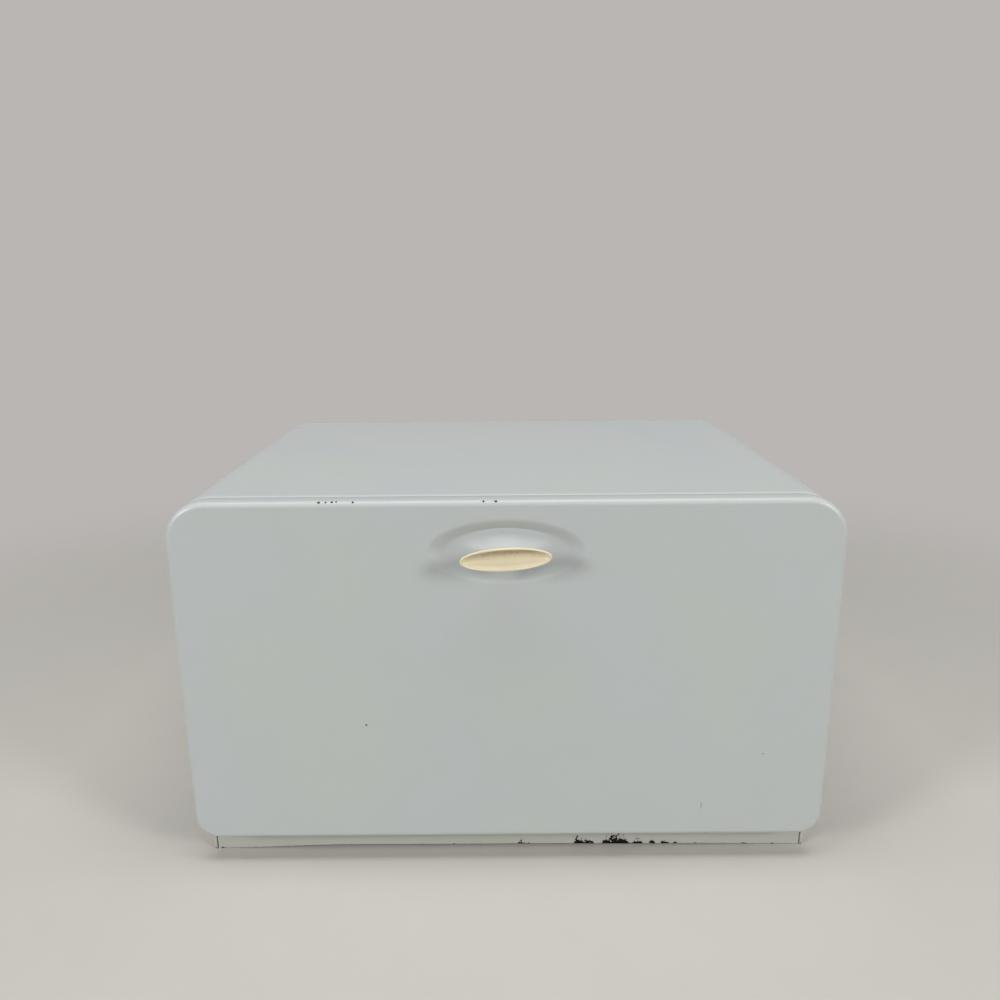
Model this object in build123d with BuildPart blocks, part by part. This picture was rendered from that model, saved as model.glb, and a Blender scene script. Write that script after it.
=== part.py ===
from build123d import *
import os

# A bread box with one drawer, in folded and pressed sheet steel. Millimetres.
# +Z is up and the front faces -Y. The origin is on the table, in the middle of the footprint
# that the box and its handle cover.

# Body: one rounded outline runs from the drawer front to the back of the case
body_width = 360.0
body_height = 201.0
top_corner = 22.0
bottom_corner = 13.0
body_depth = 254.0  # from the face of the drawer front to the back edge of the case
plinth_height = 16.0  # lifts the body off the table
sheet = 0.8
fit = 0.1  # between sheets that are welded or screwed together

# Drawer front
front_depth = 10.0
front_bend = 2.8
front_gap = 3.0  # between the closed drawer front and the case
liner_flange = 4.0

# Finger recess, an oval dish with a raised seat for the handle
recess_length = 82.0
recess_height = 34.5
recess_drop = 28.0  # from the body's top to the recess's middle
recess_depth = 5.0
recess_wall_run = 3.6  # how far the recess's wall leans inwards
seat_length = 17.0
seat_height = 9.5
seat_foot_length = 38.0
seat_foot_height = 21.0
seat_sink = 1.0  # the seat's top lies this far behind the drawer front's face

# Handle
handle_length = 47.3
handle_height = 11.6
handle_reach = 15.0  # in front of the drawer front's face
handle_tilt = 3.0  # it has turned a little on its one screw
handle_stem_length = 15.0
handle_stem_height = 8.6
handle_lip = 1.3
handle_dish = 2.6

# Fasteners
rivet_radius = 1.5
rivet_head_radius = 2.8
rivet_head_rise = 0.8
hole_clearance = 0.05  # on the radius, round every rivet and screw
screw_radius = 1.5
screw_head_radius = 2.8
screw_head_height = 1.8
front_screw_radius = 2.0
front_screw_head_radius = 3.8
front_nut_across = 7.0
front_nut_height = 3.0
insert_radius = 2.4
insert_length = 8.0
washer_radius = 3.6
washer_thickness = 0.7

# Case
hem = 8.0  # width of the folded-back front edge
back_recess = 6.0
back_bend = 2.0
vent_radius = 2.5
vent_ring_pitch = 11.0
vent_rings = 2
vent_spacing = 170.0  # between the two rosettes
vent_drop = 60.0  # from the body's top to a rosette's middle
buffer_radius = 6.0
buffer_thickness = 6.0
buffer_gap = 0.3
buffer_stem_radius = 2.0
buffer_bulb_radius = 3.0
buffer_spacing = 260.0
buffer_rise = 92.0  # above the body's underside

# Plinth
plinth_inset = 4.5  # its sides stand this far inside the body's sides
plinth_setback = 13.0  # its skirt stands this far behind the drawer front's face
plinth_rear_inset = 12.0
plinth_slit = 0.7  # open corner between the skirt and a side
plinth_lip = 10.0
plinth_bow = 1.0  # the skirt's lower edge rises this much in the middle
plinth_rivet_side_margin = 55.0
plinth_rivet_end_margin = 25.0

# Runners on the case, slides on the drawer
runner_sheet = 1.0
runner_height = 14.0
runner_depth = 10.0
runner_rise = 62.0  # from the body's underside to the runners' centre line
runner_margin = 2.0  # free length before and behind a runner
slide_clearance = 0.25
slide_side_gap = 2.0  # between a slide's lips and its runner's web
slide_reach = 11.2  # from the tray's side outwards
slide_margin = 4.0
slide_kept_in = 41.0  # length of a slide that stays in its runner when the drawer is out
runner_rivet_margin = 30.0  # from a runner's ends to its outer rivets
stop_play = 1.0  # between a stop screw and either end of its slot
slot_side_play = 0.5

# Tray
tray_rise = 8.0  # from the body's underside to the tray's underside
tray_headroom = 53.0  # from the tray's rim to the body's top
tray_corner = 4.0
tray_bend = 2.0
wire_radius = 1.3
lap_width = 13.0
lap_margin = 12.0
front_screw_spread_x = 240.0
front_screw_spread_z = 80.0
front_screw_rise = 80.0  # from the body's underside to the middle of the four screws

# Worked out from the sizes above
face_y = (handle_reach - body_depth) / 2
body_top = plinth_height + body_height
recess_z = body_top - recess_drop
case_front = front_depth + front_gap
case_depth = body_depth - case_front
back_plate = body_depth - back_recess - sheet
half_width = body_width / 2
shell_inside = half_width - sheet
runner_z = plinth_height + runner_rise
runner_front = case_front + hem + runner_margin
runner_length = back_plate - runner_margin - runner_front
tray_rear = back_plate - buffer_thickness - buffer_gap
tray_side = shell_inside - runner_sheet - slide_side_gap - slide_reach
tray_floor = plinth_height + tray_rise
rim_z = body_top - tray_headroom
tray_height = rim_z - tray_floor
curl_bore = wire_radius + hole_clearance
curl_radius = curl_bore + sheet
slide_front = front_depth + slide_margin
slide_height = runner_height - 2 * runner_sheet - 2 * slide_clearance
rear_wall = tray_rear - sheet  # the corner laps lie behind the tray's rear wall
slide_length = rear_wall - curl_radius - slide_margin - slide_front
drawer_travel = slide_front + slide_length - runner_front - slide_kept_in


def behind_face(distance: float) -> Plane:
    """The upright plane at distance behind the drawer front's face. It looks forwards, so solids
    that go back from it are extruded by a minus amount."""
    return Plane.XZ.offset(-face_y - distance)


def body_outline(inset: float) -> Sketch:
    """The body's rounded outline, drawn in by inset all round."""
    with BuildSketch() as outline:
        with Locations((0, plinth_height + body_height / 2)):
            Rectangle(body_width - 2 * inset, body_height - 2 * inset)
        fillet(outline.vertices().group_by(Axis.Y)[0], bottom_corner - inset)
        fillet(outline.vertices().group_by(Axis.Y)[-1], top_corner - inset)
    return outline.sketch


def rivet(grip: float) -> Part:
    """A rivet with two domed heads that holds sheets from z = 0 down to z = -grip."""
    with BuildPart() as piece:
        with BuildSketch(Plane.XZ):
            with BuildLine():
                head = TangentArc((0, rivet_head_rise), (rivet_head_radius, 0), tangent=(1, 0))
                tail = TangentArc(
                    (0, -grip - rivet_head_rise), (rivet_head_radius, -grip), tangent=(1, 0)
                )
                Polyline(head @ 1, (rivet_radius, 0), (rivet_radius, -grip), tail @ 1)
                Line(tail @ 0, head @ 0)
            make_face()
        revolve(axis=Axis.Z)
    return piece.part


def pan_screw(radius: float, head_radius: float, head_height: float, length: float) -> Part:
    """A screw along -Z with its rounded head above z = 0."""
    with BuildPart() as piece:
        Cylinder(head_radius, head_height, align=(Align.CENTER, Align.CENTER, Align.MIN))
        fillet(piece.edges().sort_by(Axis.Z)[-1], head_height * 0.6)
        Cylinder(radius, length, align=(Align.CENTER, Align.CENTER, Align.MAX))
        with BuildSketch(Plane.XY.offset(head_height)):
            Rectangle(head_radius * 1.5, head_height / 3)
        extrude(amount=-head_height / 2, mode=Mode.SUBTRACT)
    return piece.part


def oval(length: float, height: float, distance: float) -> Face:
    """An upright oval centred on the recess, at distance behind the face."""
    with BuildSketch(behind_face(distance)) as shape:
        with Locations((0, recess_z)):
            Ellipse(length / 2, height / 2)
    return shape.sketch.face()


pieces = {}

# Case shell: wrapped sheet, with its front edge folded back inside
outer_outline = body_outline(0)
inner_outline = body_outline(sheet)
hem_outline = body_outline(2 * sheet)

runner_rivet_y = [
    face_y + runner_front + runner_rivet_margin,
    face_y + runner_front + runner_length / 2,
    face_y + runner_front + runner_length - runner_rivet_margin,
]
runner_rivet_places = [
    Plane((side * half_width, y, runner_z), z_dir=(side, 0, 0)) for side in (-1, 1) for y in runner_rivet_y
]
plinth_side = half_width - plinth_inset
plinth_depth = body_depth - plinth_rear_inset - plinth_setback
plinth_front_y = face_y + plinth_setback
plinth_rear_y = plinth_front_y + plinth_depth
plinth_middle_y = (plinth_front_y + plinth_rear_y) / 2
plinth_rivet_spread_x = 2 * (plinth_side - plinth_rivet_side_margin)
plinth_rivet_spread_y = plinth_depth - 2 * plinth_rivet_end_margin

with BuildPart() as case_shell:
    with BuildSketch(behind_face(case_front)):
        add(outer_outline)
        add(inner_outline, mode=Mode.SUBTRACT)
    extrude(amount=-case_depth)
    with BuildSketch(behind_face(case_front)):
        add(inner_outline)
        add(hem_outline, mode=Mode.SUBTRACT)
    extrude(amount=-hem)
    fillet(case_shell.edges().group_by(Axis.Y)[0], sheet * 0.95)
    with Locations(runner_rivet_places):
        Hole(rivet_radius + hole_clearance, depth=2 * sheet)
    with Locations((0, plinth_middle_y, plinth_height)):
        with GridLocations(plinth_rivet_spread_x, plinth_rivet_spread_y, 2, 2):
            Hole(rivet_radius + hole_clearance, depth=2 * sheet)
pieces["case_shell"] = case_shell

# Back panel: a pan let into the shell, open to the rear
back_outline = body_outline(sheet + fit)
back_inside = body_outline(2 * sheet + fit)
buffer_places = [(x, buffer_rise + plinth_height) for x in (-buffer_spacing / 2, buffer_spacing / 2)]

with BuildPart() as back_panel:
    with BuildSketch(behind_face(back_plate)):
        add(back_outline)
    extrude(amount=-(sheet + back_recess))
    fillet(back_panel.edges().group_by(Axis.Y)[0], back_bend)
    with BuildSketch(behind_face(back_plate + sheet)):
        add(back_inside)
    extrude(amount=-back_recess, mode=Mode.SUBTRACT)
    with BuildSketch(behind_face(back_plate)):
        for x in (-vent_spacing / 2, vent_spacing / 2):
            with Locations((x, body_top - vent_drop)):
                Circle(vent_radius)
                for ring in range(1, vent_rings + 1):
                    with PolarLocations(ring * vent_ring_pitch, 6 * ring):
                        Circle(vent_radius)
        with Locations(buffer_places):
            Circle(buffer_stem_radius + hole_clearance)
    extrude(amount=-sheet, mode=Mode.SUBTRACT)
pieces["back_panel"] = back_panel

# Rear buffers: rubber, each with a stem through the back panel and a bulb behind it
with BuildPart() as rear_buffers:
    with BuildSketch(behind_face(back_plate - buffer_thickness)):
        with Locations(buffer_places):
            Circle(buffer_radius)
    extrude(amount=-buffer_thickness)
    fillet(rear_buffers.edges().group_by(Axis.Y)[0], buffer_radius / 4)
    with BuildSketch(behind_face(back_plate)):
        with Locations(buffer_places):
            Circle(buffer_stem_radius)
    extrude(amount=-sheet)
    with BuildSketch(behind_face(back_plate + sheet)):
        with Locations(buffer_places):
            Circle(buffer_bulb_radius)
    extrude(amount=-buffer_stem_radius, taper=20)
pieces["rear_buffers"] = rear_buffers

# Plinth: an upturned tray whose corners are left open
skirt_side = plinth_side - 2 * sheet - plinth_slit

with BuildPart() as plinth:
    with BuildSketch(Plane.XY.offset(plinth_height - sheet)):
        with Locations((0, plinth_middle_y)):
            Rectangle(2 * plinth_side, plinth_depth)
    extrude(amount=sheet)
    with BuildSketch(Plane.XZ.offset(-plinth_front_y)):
        with BuildLine():
            lower = ThreePointArc((-skirt_side, 0), (0, plinth_bow), (skirt_side, 0))
            Polyline(lower @ 1, (skirt_side, plinth_height), (-skirt_side, plinth_height), lower @ 0)
        make_face()
    extrude(amount=-sheet)
    with BuildSketch(Plane.XZ.offset(-plinth_rear_y)):
        with Locations((0, plinth_height / 2)):
            Rectangle(2 * skirt_side, plinth_height)
    extrude(amount=sheet)
    with BuildSketch():
        for side in (-1, 1):
            with Locations((side * (plinth_side - sheet / 2), plinth_middle_y)):
                Rectangle(sheet, plinth_depth)
            # the side's ends are folded back on themselves
            for end in (-1, 1):
                end_y = plinth_middle_y + end * (plinth_depth - hem) / 2
                with Locations((side * (plinth_side - sheet), end_y)):
                    Rectangle(2 * sheet, hem)
    extrude(amount=plinth_height)
    with BuildSketch():
        for side in (-1, 1):
            with Locations((side * (plinth_side - plinth_lip / 2), plinth_middle_y)):
                Rectangle(plinth_lip, plinth_depth - 4 * hem)
    extrude(amount=sheet)
    with Locations((0, plinth_middle_y, plinth_height)):
        with GridLocations(plinth_rivet_spread_x, plinth_rivet_spread_y, 2, 2):
            Hole(rivet_radius + hole_clearance, depth=2 * sheet)
pieces["plinth"] = plinth

plinth_rivet = rivet(2 * sheet)
with BuildPart() as plinth_rivets:
    with Locations((0, plinth_middle_y, plinth_height + sheet)):
        with GridLocations(plinth_rivet_spread_x, plinth_rivet_spread_y, 2, 2):
            add(plinth_rivet)
pieces["plinth_rivets"] = plinth_rivets

runner_rivet = rivet(sheet + runner_sheet)
with BuildPart() as runner_rivets:
    with Locations(runner_rivet_places):
        add(runner_rivet)
pieces["runner_rivets"] = runner_rivets

# Runners: channels that are open towards the drawer
stop_x = tray_side + slide_reach / 2
stop_y = face_y + runner_front + hem
runner_top = runner_z + runner_height / 2

for name, side in (("left", -1), ("right", 1)):
    with BuildPart() as runner:
        with BuildSketch(behind_face(runner_front)):
            with Locations((side * (shell_inside - runner_depth / 2), runner_z)):
                Rectangle(runner_depth, runner_height)
            with Locations((side * (shell_inside - runner_depth / 2 - runner_sheet), runner_z)):
                Rectangle(runner_depth, runner_height - 2 * runner_sheet, mode=Mode.SUBTRACT)
        extrude(amount=-runner_length)
        with Locations(runner_rivet_places):
            Hole(rivet_radius + hole_clearance, depth=runner_depth / 2)
        with Locations((side * stop_x, stop_y, runner_top)):
            Hole(screw_radius + hole_clearance, depth=2 * runner_sheet)
    pieces[f"runner_{name}"] = runner

# Stop screws: their tips stand in the slides' slots
stop_screw = pan_screw(screw_radius, screw_head_radius, screw_head_height, runner_height / 3)
with BuildPart() as stop_screws:
    with Locations((-stop_x, stop_y, runner_top), (stop_x, stop_y, runner_top)):
        add(stop_screw)
pieces["stop_screws"] = stop_screws

# Slides: narrower channels inside the runners, open outwards, with a slot for the stop screw
slide_rivet_y = [
    face_y + slide_front + runner_rivet_margin,
    face_y + slide_front + slide_length / 2,
    face_y + slide_front + slide_length - runner_rivet_margin,
]
slide_rivet_places = [
    Plane((side * (tray_side - sheet), y, runner_z), z_dir=(-side, 0, 0))
    for side in (-1, 1)
    for y in slide_rivet_y
]
slot_width = 2 * (screw_radius + slot_side_play)
slot_length = drawer_travel + 2 * (screw_radius + stop_play)
slot_y = stop_y + drawer_travel / 2

for name, side in (("left", -1), ("right", 1)):
    with BuildPart() as slide:
        with BuildSketch(behind_face(slide_front)):
            with Locations((side * (tray_side + slide_reach / 2), runner_z)):
                Rectangle(slide_reach, slide_height)
            with Locations((side * (tray_side + slide_reach / 2 + runner_sheet), runner_z)):
                Rectangle(slide_reach, slide_height - 2 * runner_sheet, mode=Mode.SUBTRACT)
        extrude(amount=-slide_length)
        with BuildSketch(Plane.XY.offset(runner_z + slide_height / 2)):
            with Locations((side * stop_x, slot_y)):
                SlotOverall(slot_length, slot_width, rotation=90)
        extrude(amount=-runner_sheet, mode=Mode.SUBTRACT)
        with Locations(slide_rivet_places):
            Hole(rivet_radius + hole_clearance, depth=slide_reach / 2)
    pieces[f"slide_{name}"] = slide

slide_rivet = rivet(sheet + runner_sheet)
with BuildPart() as slide_rivets:
    with Locations(slide_rivet_places):
        add(slide_rivet)
pieces["slide_rivets"] = slide_rivets

# Tray: folded sheet with a rim rolled round a wire and lapped rear corners
tray_length = rear_wall - front_depth
tray_middle_y = face_y + front_depth + tray_length / 2
tray_front_y = face_y + front_depth
curl_offset = curl_bore - fit  # from a wall's outer face to the middle of the wire
front_screw_z = plinth_height + front_screw_rise
lap_x = tray_side - tray_corner - lap_width / 2
lap_height = tray_height - 2 * lap_margin
lap_rivet_places = [
    Plane((side * lap_x, face_y + tray_rear, tray_floor + lap_margin + lap_height * share), z_dir=(0, 1, 0))
    for side in (-1, 1)
    for share in (0.2, 0.8)
]

with BuildLine(Plane.XY.offset(rim_z)) as rim_line:
    rim_x = tray_side + curl_offset
    rim_rear_y = face_y + rear_wall + curl_offset
    FilletPolyline(
        (-rim_x, tray_front_y + sheet),
        (-rim_x, rim_rear_y),
        (rim_x, rim_rear_y),
        (rim_x, tray_front_y + sheet),
        radius=tray_corner + curl_offset,
    )
rim_start = Plane(rim_line.line @ 0, z_dir=rim_line.line % 0)

with BuildPart() as drawer_tray:
    with BuildSketch(Plane.XY.offset(tray_floor)) as tray_plan:
        with Locations((0, tray_middle_y)):
            Rectangle(2 * tray_side, tray_length)
        fillet(tray_plan.vertices().group_by(Axis.Y)[-1], tray_corner)
    extrude(amount=tray_height)
    fillet(drawer_tray.edges().group_by(Axis.Z)[0], tray_bend)
    offset(amount=-sheet, openings=drawer_tray.faces().sort_by(Axis.Z)[-1])
    with BuildSketch(behind_face(rear_wall)):
        with Locations((-lap_x, tray_floor + tray_height / 2), (lap_x, tray_floor + tray_height / 2)):
            Rectangle(lap_width, lap_height)
    extrude(amount=-sheet)
    with BuildSketch(rim_start):
        Circle(curl_radius)
    sweep(path=rim_line.line)
    with BuildSketch(rim_start):
        Circle(curl_bore)
    sweep(path=rim_line.line, mode=Mode.SUBTRACT)
    with Locations(slide_rivet_places):
        Hole(rivet_radius + hole_clearance, depth=2 * sheet)
    with Locations(lap_rivet_places):
        Hole(rivet_radius + hole_clearance, depth=3 * sheet)
    with Locations(behind_face(front_depth)):
        with Locations((0, front_screw_z)):
            with GridLocations(front_screw_spread_x, front_screw_spread_z, 2, 2):
                Hole(front_screw_radius + hole_clearance, depth=2 * sheet)
pieces["drawer_tray"] = drawer_tray

with BuildPart() as rim_wire:
    with BuildSketch(rim_start):
        Circle(wire_radius)
    sweep(path=rim_line.line)
pieces["rim_wire"] = rim_wire

lap_rivet = rivet(2 * sheet)
with BuildPart() as tray_rivets:
    with Locations(lap_rivet_places):
        add(lap_rivet)
pieces["tray_rivets"] = tray_rivets

# Drawer front: a pan with bent edges, the recess and the handle's seat pressed into it
recess_floor_length = recess_length - 2 * recess_wall_run
recess_floor_height = recess_height - 2 * recess_wall_run

with BuildPart() as drawer_front:
    with BuildSketch(behind_face(0)):
        add(outer_outline)
    extrude(amount=-front_depth)
    fillet(drawer_front.edges().group_by(Axis.Y)[0], front_bend)
    offset(amount=-sheet, openings=drawer_front.faces().sort_by(Axis.Y)[-1])
    loft([
        oval(recess_length + 2 * sheet, recess_height + 2 * sheet, sheet / 2),
        oval(recess_floor_length + 2 * sheet, recess_floor_height + 2 * sheet, recess_depth + sheet),
    ])
    loft(
        [
            oval(recess_length, recess_height, 0),
            oval(recess_floor_length, recess_floor_height, recess_depth),
        ],
        mode=Mode.SUBTRACT,
    )
    loft([
        oval(seat_foot_length, seat_foot_height, recess_depth + sheet / 2),
        oval(seat_length, seat_height, seat_sink),
    ])
    loft(
        [
            oval(seat_foot_length - 2 * sheet, seat_foot_height - 2 * sheet, recess_depth + sheet),
            oval(seat_length - 2 * sheet, seat_height - 2 * sheet, seat_sink + sheet),
        ],
        mode=Mode.SUBTRACT,
    )
    with Locations(behind_face(seat_sink)):
        with Locations((0, recess_z)):
            Hole(screw_radius + hole_clearance, depth=2 * sheet)
pieces["drawer_front"] = drawer_front

# Front liner: closes the pan from behind
liner_outline = body_outline(sheet + fit)
liner_inside = body_outline(2 * sheet + fit)

with BuildPart() as front_liner:
    with BuildSketch(behind_face(front_depth - liner_flange)):
        add(liner_outline)
        add(liner_inside, mode=Mode.SUBTRACT)
    extrude(amount=-liner_flange)
    with BuildSketch(behind_face(front_depth - sheet)):
        add(liner_outline)
        with Locations((0, front_screw_z)):
            with GridLocations(front_screw_spread_x, front_screw_spread_z, 2, 2):
                Circle(front_screw_radius + hole_clearance, mode=Mode.SUBTRACT)
    extrude(amount=-sheet)
pieces["front_liner"] = front_liner

# Screws from inside the tray, through its front wall and the liner into nuts
screw_seat = Plane((0, tray_front_y + sheet, front_screw_z), x_dir=(1, 0, 0), z_dir=(0, 1, 0))
front_screw = pan_screw(
    front_screw_radius, front_screw_head_radius, screw_head_height, 2 * sheet + front_nut_height
)
with BuildPart() as front_screws:
    with Locations(screw_seat):
        with GridLocations(front_screw_spread_x, front_screw_spread_z, 2, 2):
            add(front_screw)
pieces["front_screws"] = front_screws

with BuildPart() as front_nuts:
    with BuildSketch(behind_face(front_depth - sheet)):
        with Locations((0, front_screw_z)):
            with GridLocations(front_screw_spread_x, front_screw_spread_z, 2, 2):
                RegularPolygon(front_nut_across / 2, 6, major_radius=False)
                Circle(front_screw_radius + hole_clearance, mode=Mode.SUBTRACT)
    extrude(amount=front_nut_height)
pieces["front_nuts"] = front_nuts

# Handle: an oval flare on a stem, with a dished face inside a thin lip
handle_flare = handle_reach * 0.62


def handle_oval(length: float, height: float, reach: float) -> Face:
    """An oval of the handle, tilted with it, at reach in front of the drawer front's face."""
    with BuildSketch(behind_face(-reach)) as shape:
        with Locations((0, recess_z)):
            Ellipse(length / 2, height / 2, rotation=handle_tilt)
    return shape.sketch.face()


with BuildPart() as handle:
    loft([
        handle_oval(handle_stem_length, handle_stem_height, -seat_sink),
        handle_oval(handle_stem_length * 1.15, handle_stem_height, handle_flare * 0.65),
        handle_oval(handle_length * 0.82, handle_height * 0.9, handle_flare),
        handle_oval(handle_length, handle_height, handle_reach - handle_lip),
    ])
    loft([
        handle_oval(handle_length, handle_height, handle_reach - handle_lip),
        handle_oval(handle_length, handle_height, handle_reach),
    ])
    loft(
        [
            handle_oval(handle_length - 2 * handle_lip, handle_height - 2 * handle_lip, handle_reach),
            handle_oval(
                handle_length - 9 * handle_lip, handle_height - 4.5 * handle_lip, handle_reach - handle_dish
            ),
        ],
        mode=Mode.SUBTRACT,
    )
    with BuildSketch(behind_face(seat_sink)):
        with Locations((0, recess_z)):
            Circle(insert_radius + hole_clearance)
    extrude(amount=insert_length, mode=Mode.SUBTRACT)
pieces["handle"] = handle

with BuildPart() as handle_insert:
    with BuildSketch(behind_face(seat_sink)):
        with Locations((0, recess_z)):
            Circle(insert_radius)
            Circle(screw_radius + hole_clearance, mode=Mode.SUBTRACT)
    extrude(amount=insert_length)
pieces["handle_insert"] = handle_insert

with BuildPart() as handle_washer:
    with BuildSketch(behind_face(seat_sink + sheet)):
        with Locations((0, recess_z)):
            Circle(washer_radius)
            Circle(screw_radius + 2 * hole_clearance, mode=Mode.SUBTRACT)
    extrude(amount=-washer_thickness)
pieces["handle_washer"] = handle_washer

handle_screw_seat = Plane(
    (0, face_y + seat_sink + sheet + washer_thickness, recess_z), x_dir=(1, 0, 0), z_dir=(0, 1, 0)
)
handle_screw_blank = pan_screw(
    screw_radius, screw_head_radius, screw_head_height, sheet + washer_thickness + insert_length * 0.8
)
with BuildPart() as handle_screw:
    with Locations(handle_screw_seat):
        add(handle_screw_blank)
pieces["handle_screw"] = handle_screw

os.makedirs("parts", exist_ok=True)
for name, piece in pieces.items():
    piece.part.label = name
    export_step(piece.part, f"parts/{name}.step")
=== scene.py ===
"""A bread box with one drawer, in stoved enamel on folded steel, dressed for a picture.

Sizes in the dataclasses are millimetres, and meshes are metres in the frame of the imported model:
+X is to the right, +Y to the back, +Z up, and the front faces -Y.
"""

import logging
import math
from dataclasses import dataclass, field
from enum import Enum

import bmesh
import bpy
import numpy as np
from bpy.types import ID, Material, Mesh, Node, NodeSocket, NodeTree, Object
from mathutils import Matrix, Vector

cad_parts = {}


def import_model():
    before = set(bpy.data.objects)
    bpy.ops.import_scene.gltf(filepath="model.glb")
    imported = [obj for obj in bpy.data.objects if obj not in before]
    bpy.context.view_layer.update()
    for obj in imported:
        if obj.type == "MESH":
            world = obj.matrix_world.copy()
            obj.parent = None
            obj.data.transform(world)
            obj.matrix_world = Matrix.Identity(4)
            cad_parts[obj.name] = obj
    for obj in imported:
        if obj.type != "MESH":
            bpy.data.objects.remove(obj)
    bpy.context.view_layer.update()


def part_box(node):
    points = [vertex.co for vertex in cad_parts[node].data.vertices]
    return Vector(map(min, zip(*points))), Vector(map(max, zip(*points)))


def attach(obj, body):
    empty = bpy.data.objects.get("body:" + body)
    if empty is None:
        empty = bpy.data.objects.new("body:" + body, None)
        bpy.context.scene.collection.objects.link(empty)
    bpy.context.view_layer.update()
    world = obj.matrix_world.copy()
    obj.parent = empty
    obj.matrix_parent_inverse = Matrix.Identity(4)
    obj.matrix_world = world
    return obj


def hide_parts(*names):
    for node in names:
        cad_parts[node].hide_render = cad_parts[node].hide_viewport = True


log = logging.getLogger("bread_box")

Array = np.ndarray
Pair = tuple[float, float]
Triple = tuple[float, float, float]

MM = 0.001
MERGE_WITHIN = 0.002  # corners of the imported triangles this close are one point


# ----- Meshes from arrays


def corners_mm(node: str) -> tuple[Array, Array]:
    """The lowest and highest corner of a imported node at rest.

    Args:
        node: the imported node's name.

    Returns:
        Two points in millimetres.
    """
    low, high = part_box(node)
    return np.array(low) / MM, np.array(high) / MM


def arc(centre: Pair, radius: float, start: float, end: float, steps: int) -> Array:
    """Points along an arc: its centre plus its radius times (cos a, sin a).

    Args:
        centre: the arc's centre, in the plane of the profile.
        radius: its radius.
        start: the first angle, in degrees.
        end: the last angle, in degrees.
        steps: how many chords the arc has.

    Returns:
        An array of steps + 1 points.
    """
    angles = np.radians(np.linspace(start, end, steps + 1))
    return np.array(centre) + radius * np.stack([np.cos(angles), np.sin(angles)], axis=1)


def run_along(start: tuple[float, ...], end: tuple[float, ...], steps: int) -> Array:
    """Points spaced evenly from start to end.

    Args:
        start: the first point.
        end: the last point.
        steps: how many pieces the stretch is cut into.

    Returns:
        An array of steps + 1 points.
    """
    return np.linspace(np.array(start, float), np.array(end, float), steps + 1)


def softened(path: Array, window: int = 11) -> Array:
    """Rounds the corners of an evenly sampled path: each point becomes the average of its
    neighbours under a raised cosine, and the ends stay where they are.

    Args:
        path: points in a row.
        window: how many points the average takes in, an odd number.

    Returns:
        An array of the same shape.
    """
    weights = np.hanning(window + 2)[1:-1]
    weights = weights / weights.sum()
    half = window // 2
    start = 2 * path[0] - path[half:0:-1]
    end = 2 * path[-1] - path[-2 : -half - 2 : -1]
    padded = np.concatenate([start, path, end])
    return np.stack([np.convolve(column, weights, mode="valid") for column in padded.T], axis=1)


def stacked(x: Array, y: Array, z: Array) -> Array:
    """A grid of points from its coordinates.

    Args:
        x: coordinates that spread over the grid's rows and columns, as the next two do.
        y: the second coordinates.
        z: the third coordinates.

    Returns:
        Points of shape (rows, columns, 3).
    """
    return np.stack(np.broadcast_arrays(x, y, z), axis=-1)


def closed_towards(ring: Array, shares: tuple[float, ...]) -> Array:
    """Smaller copies of a flat ring, shrunk straight towards its middle.

    Args:
        ring: points in a row.
        shares: the size of each copy as a share of the ring's, in the order wanted.

    Returns:
        A grid with one ring for each share.
    """
    middle = (ring.min(axis=0) + ring.max(axis=0)) / 2
    return middle + np.array(shares)[:, None, None] * (ring - middle)


def ring_faces(rings: int, columns: int, closed: bool) -> Array:
    """Four-sided faces between neighbours on rings of points.

    Args:
        rings: how many rings there are.
        columns: how many points are in a ring.
        closed: the last ring joins the first one.

    Returns:
        An array of four point numbers for each face.
    """
    r, c = np.meshgrid(np.arange(rings if closed else rings - 1), np.arange(columns), indexing="ij")
    r_next, c_next = (r + 1) % rings, (c + 1) % columns
    face = [r * columns + c, r * columns + c_next, r_next * columns + c_next, r_next * columns + c]
    return np.stack(face, axis=-1).reshape(-1, 4)


def pole_faces(ring: Array, pole: int) -> Array:
    """Three-sided faces that close a ring of points to one pole.

    Args:
        ring: the ring's point numbers.
        pole: the pole's point number.

    Returns:
        An array of three point numbers for each face.
    """
    return np.stack([ring, np.roll(ring, -1), np.full(len(ring), pole)], axis=1)


def signed_volume(points: Array, faces: list[Array]) -> float:
    """The volume inside a closed surface, below zero if its faces point inwards: the sum over
    its triangles of a . (b x c) / 6.

    Args:
        points: all points.
        faces: groups of faces with three or four corners.

    Returns:
        The volume in the cube of the points' unit.
    """
    middle = points.mean(axis=0)
    total = 0.0
    for group in faces:
        for second in range(1, group.shape[1] - 1):
            a, b, c = (points[group[:, i]] - middle for i in (0, second, second + 1))
            total += float(np.einsum("ij,ij->i", a, np.cross(b, c)).sum()) / 6
    return total


def add_object(name: str, data: ID) -> Object:
    """Makes an object at the origin and links it to the scene.

    Args:
        name: the object's name.
        data: its mesh, lamp or camera.

    Returns:
        The object.
    """
    made = bpy.data.objects.new(name, data)
    bpy.context.scene.collection.objects.link(made)
    return made


def shade_smooth(mesh: Mesh) -> None:
    """Makes every face of a mesh smooth."""
    mesh.polygons.foreach_set("use_smooth", np.ones(len(mesh.polygons), dtype=bool))


def store(piece: Object, name: str, values: list[Array], unit: float = 1.0) -> None:
    """Stores a number for each point of a piece, for its material to read.

    Args:
        piece: the object.
        name: the attribute's name.
        values: the numbers in the points' order, in groups.
        unit: what the numbers are multiplied by.
    """
    numbers = (np.concatenate([group.ravel() for group in values]) * unit).astype(np.float32)
    piece.data.attributes.new(name, "FLOAT", "POINT").data.foreach_set("value", numbers)


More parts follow.
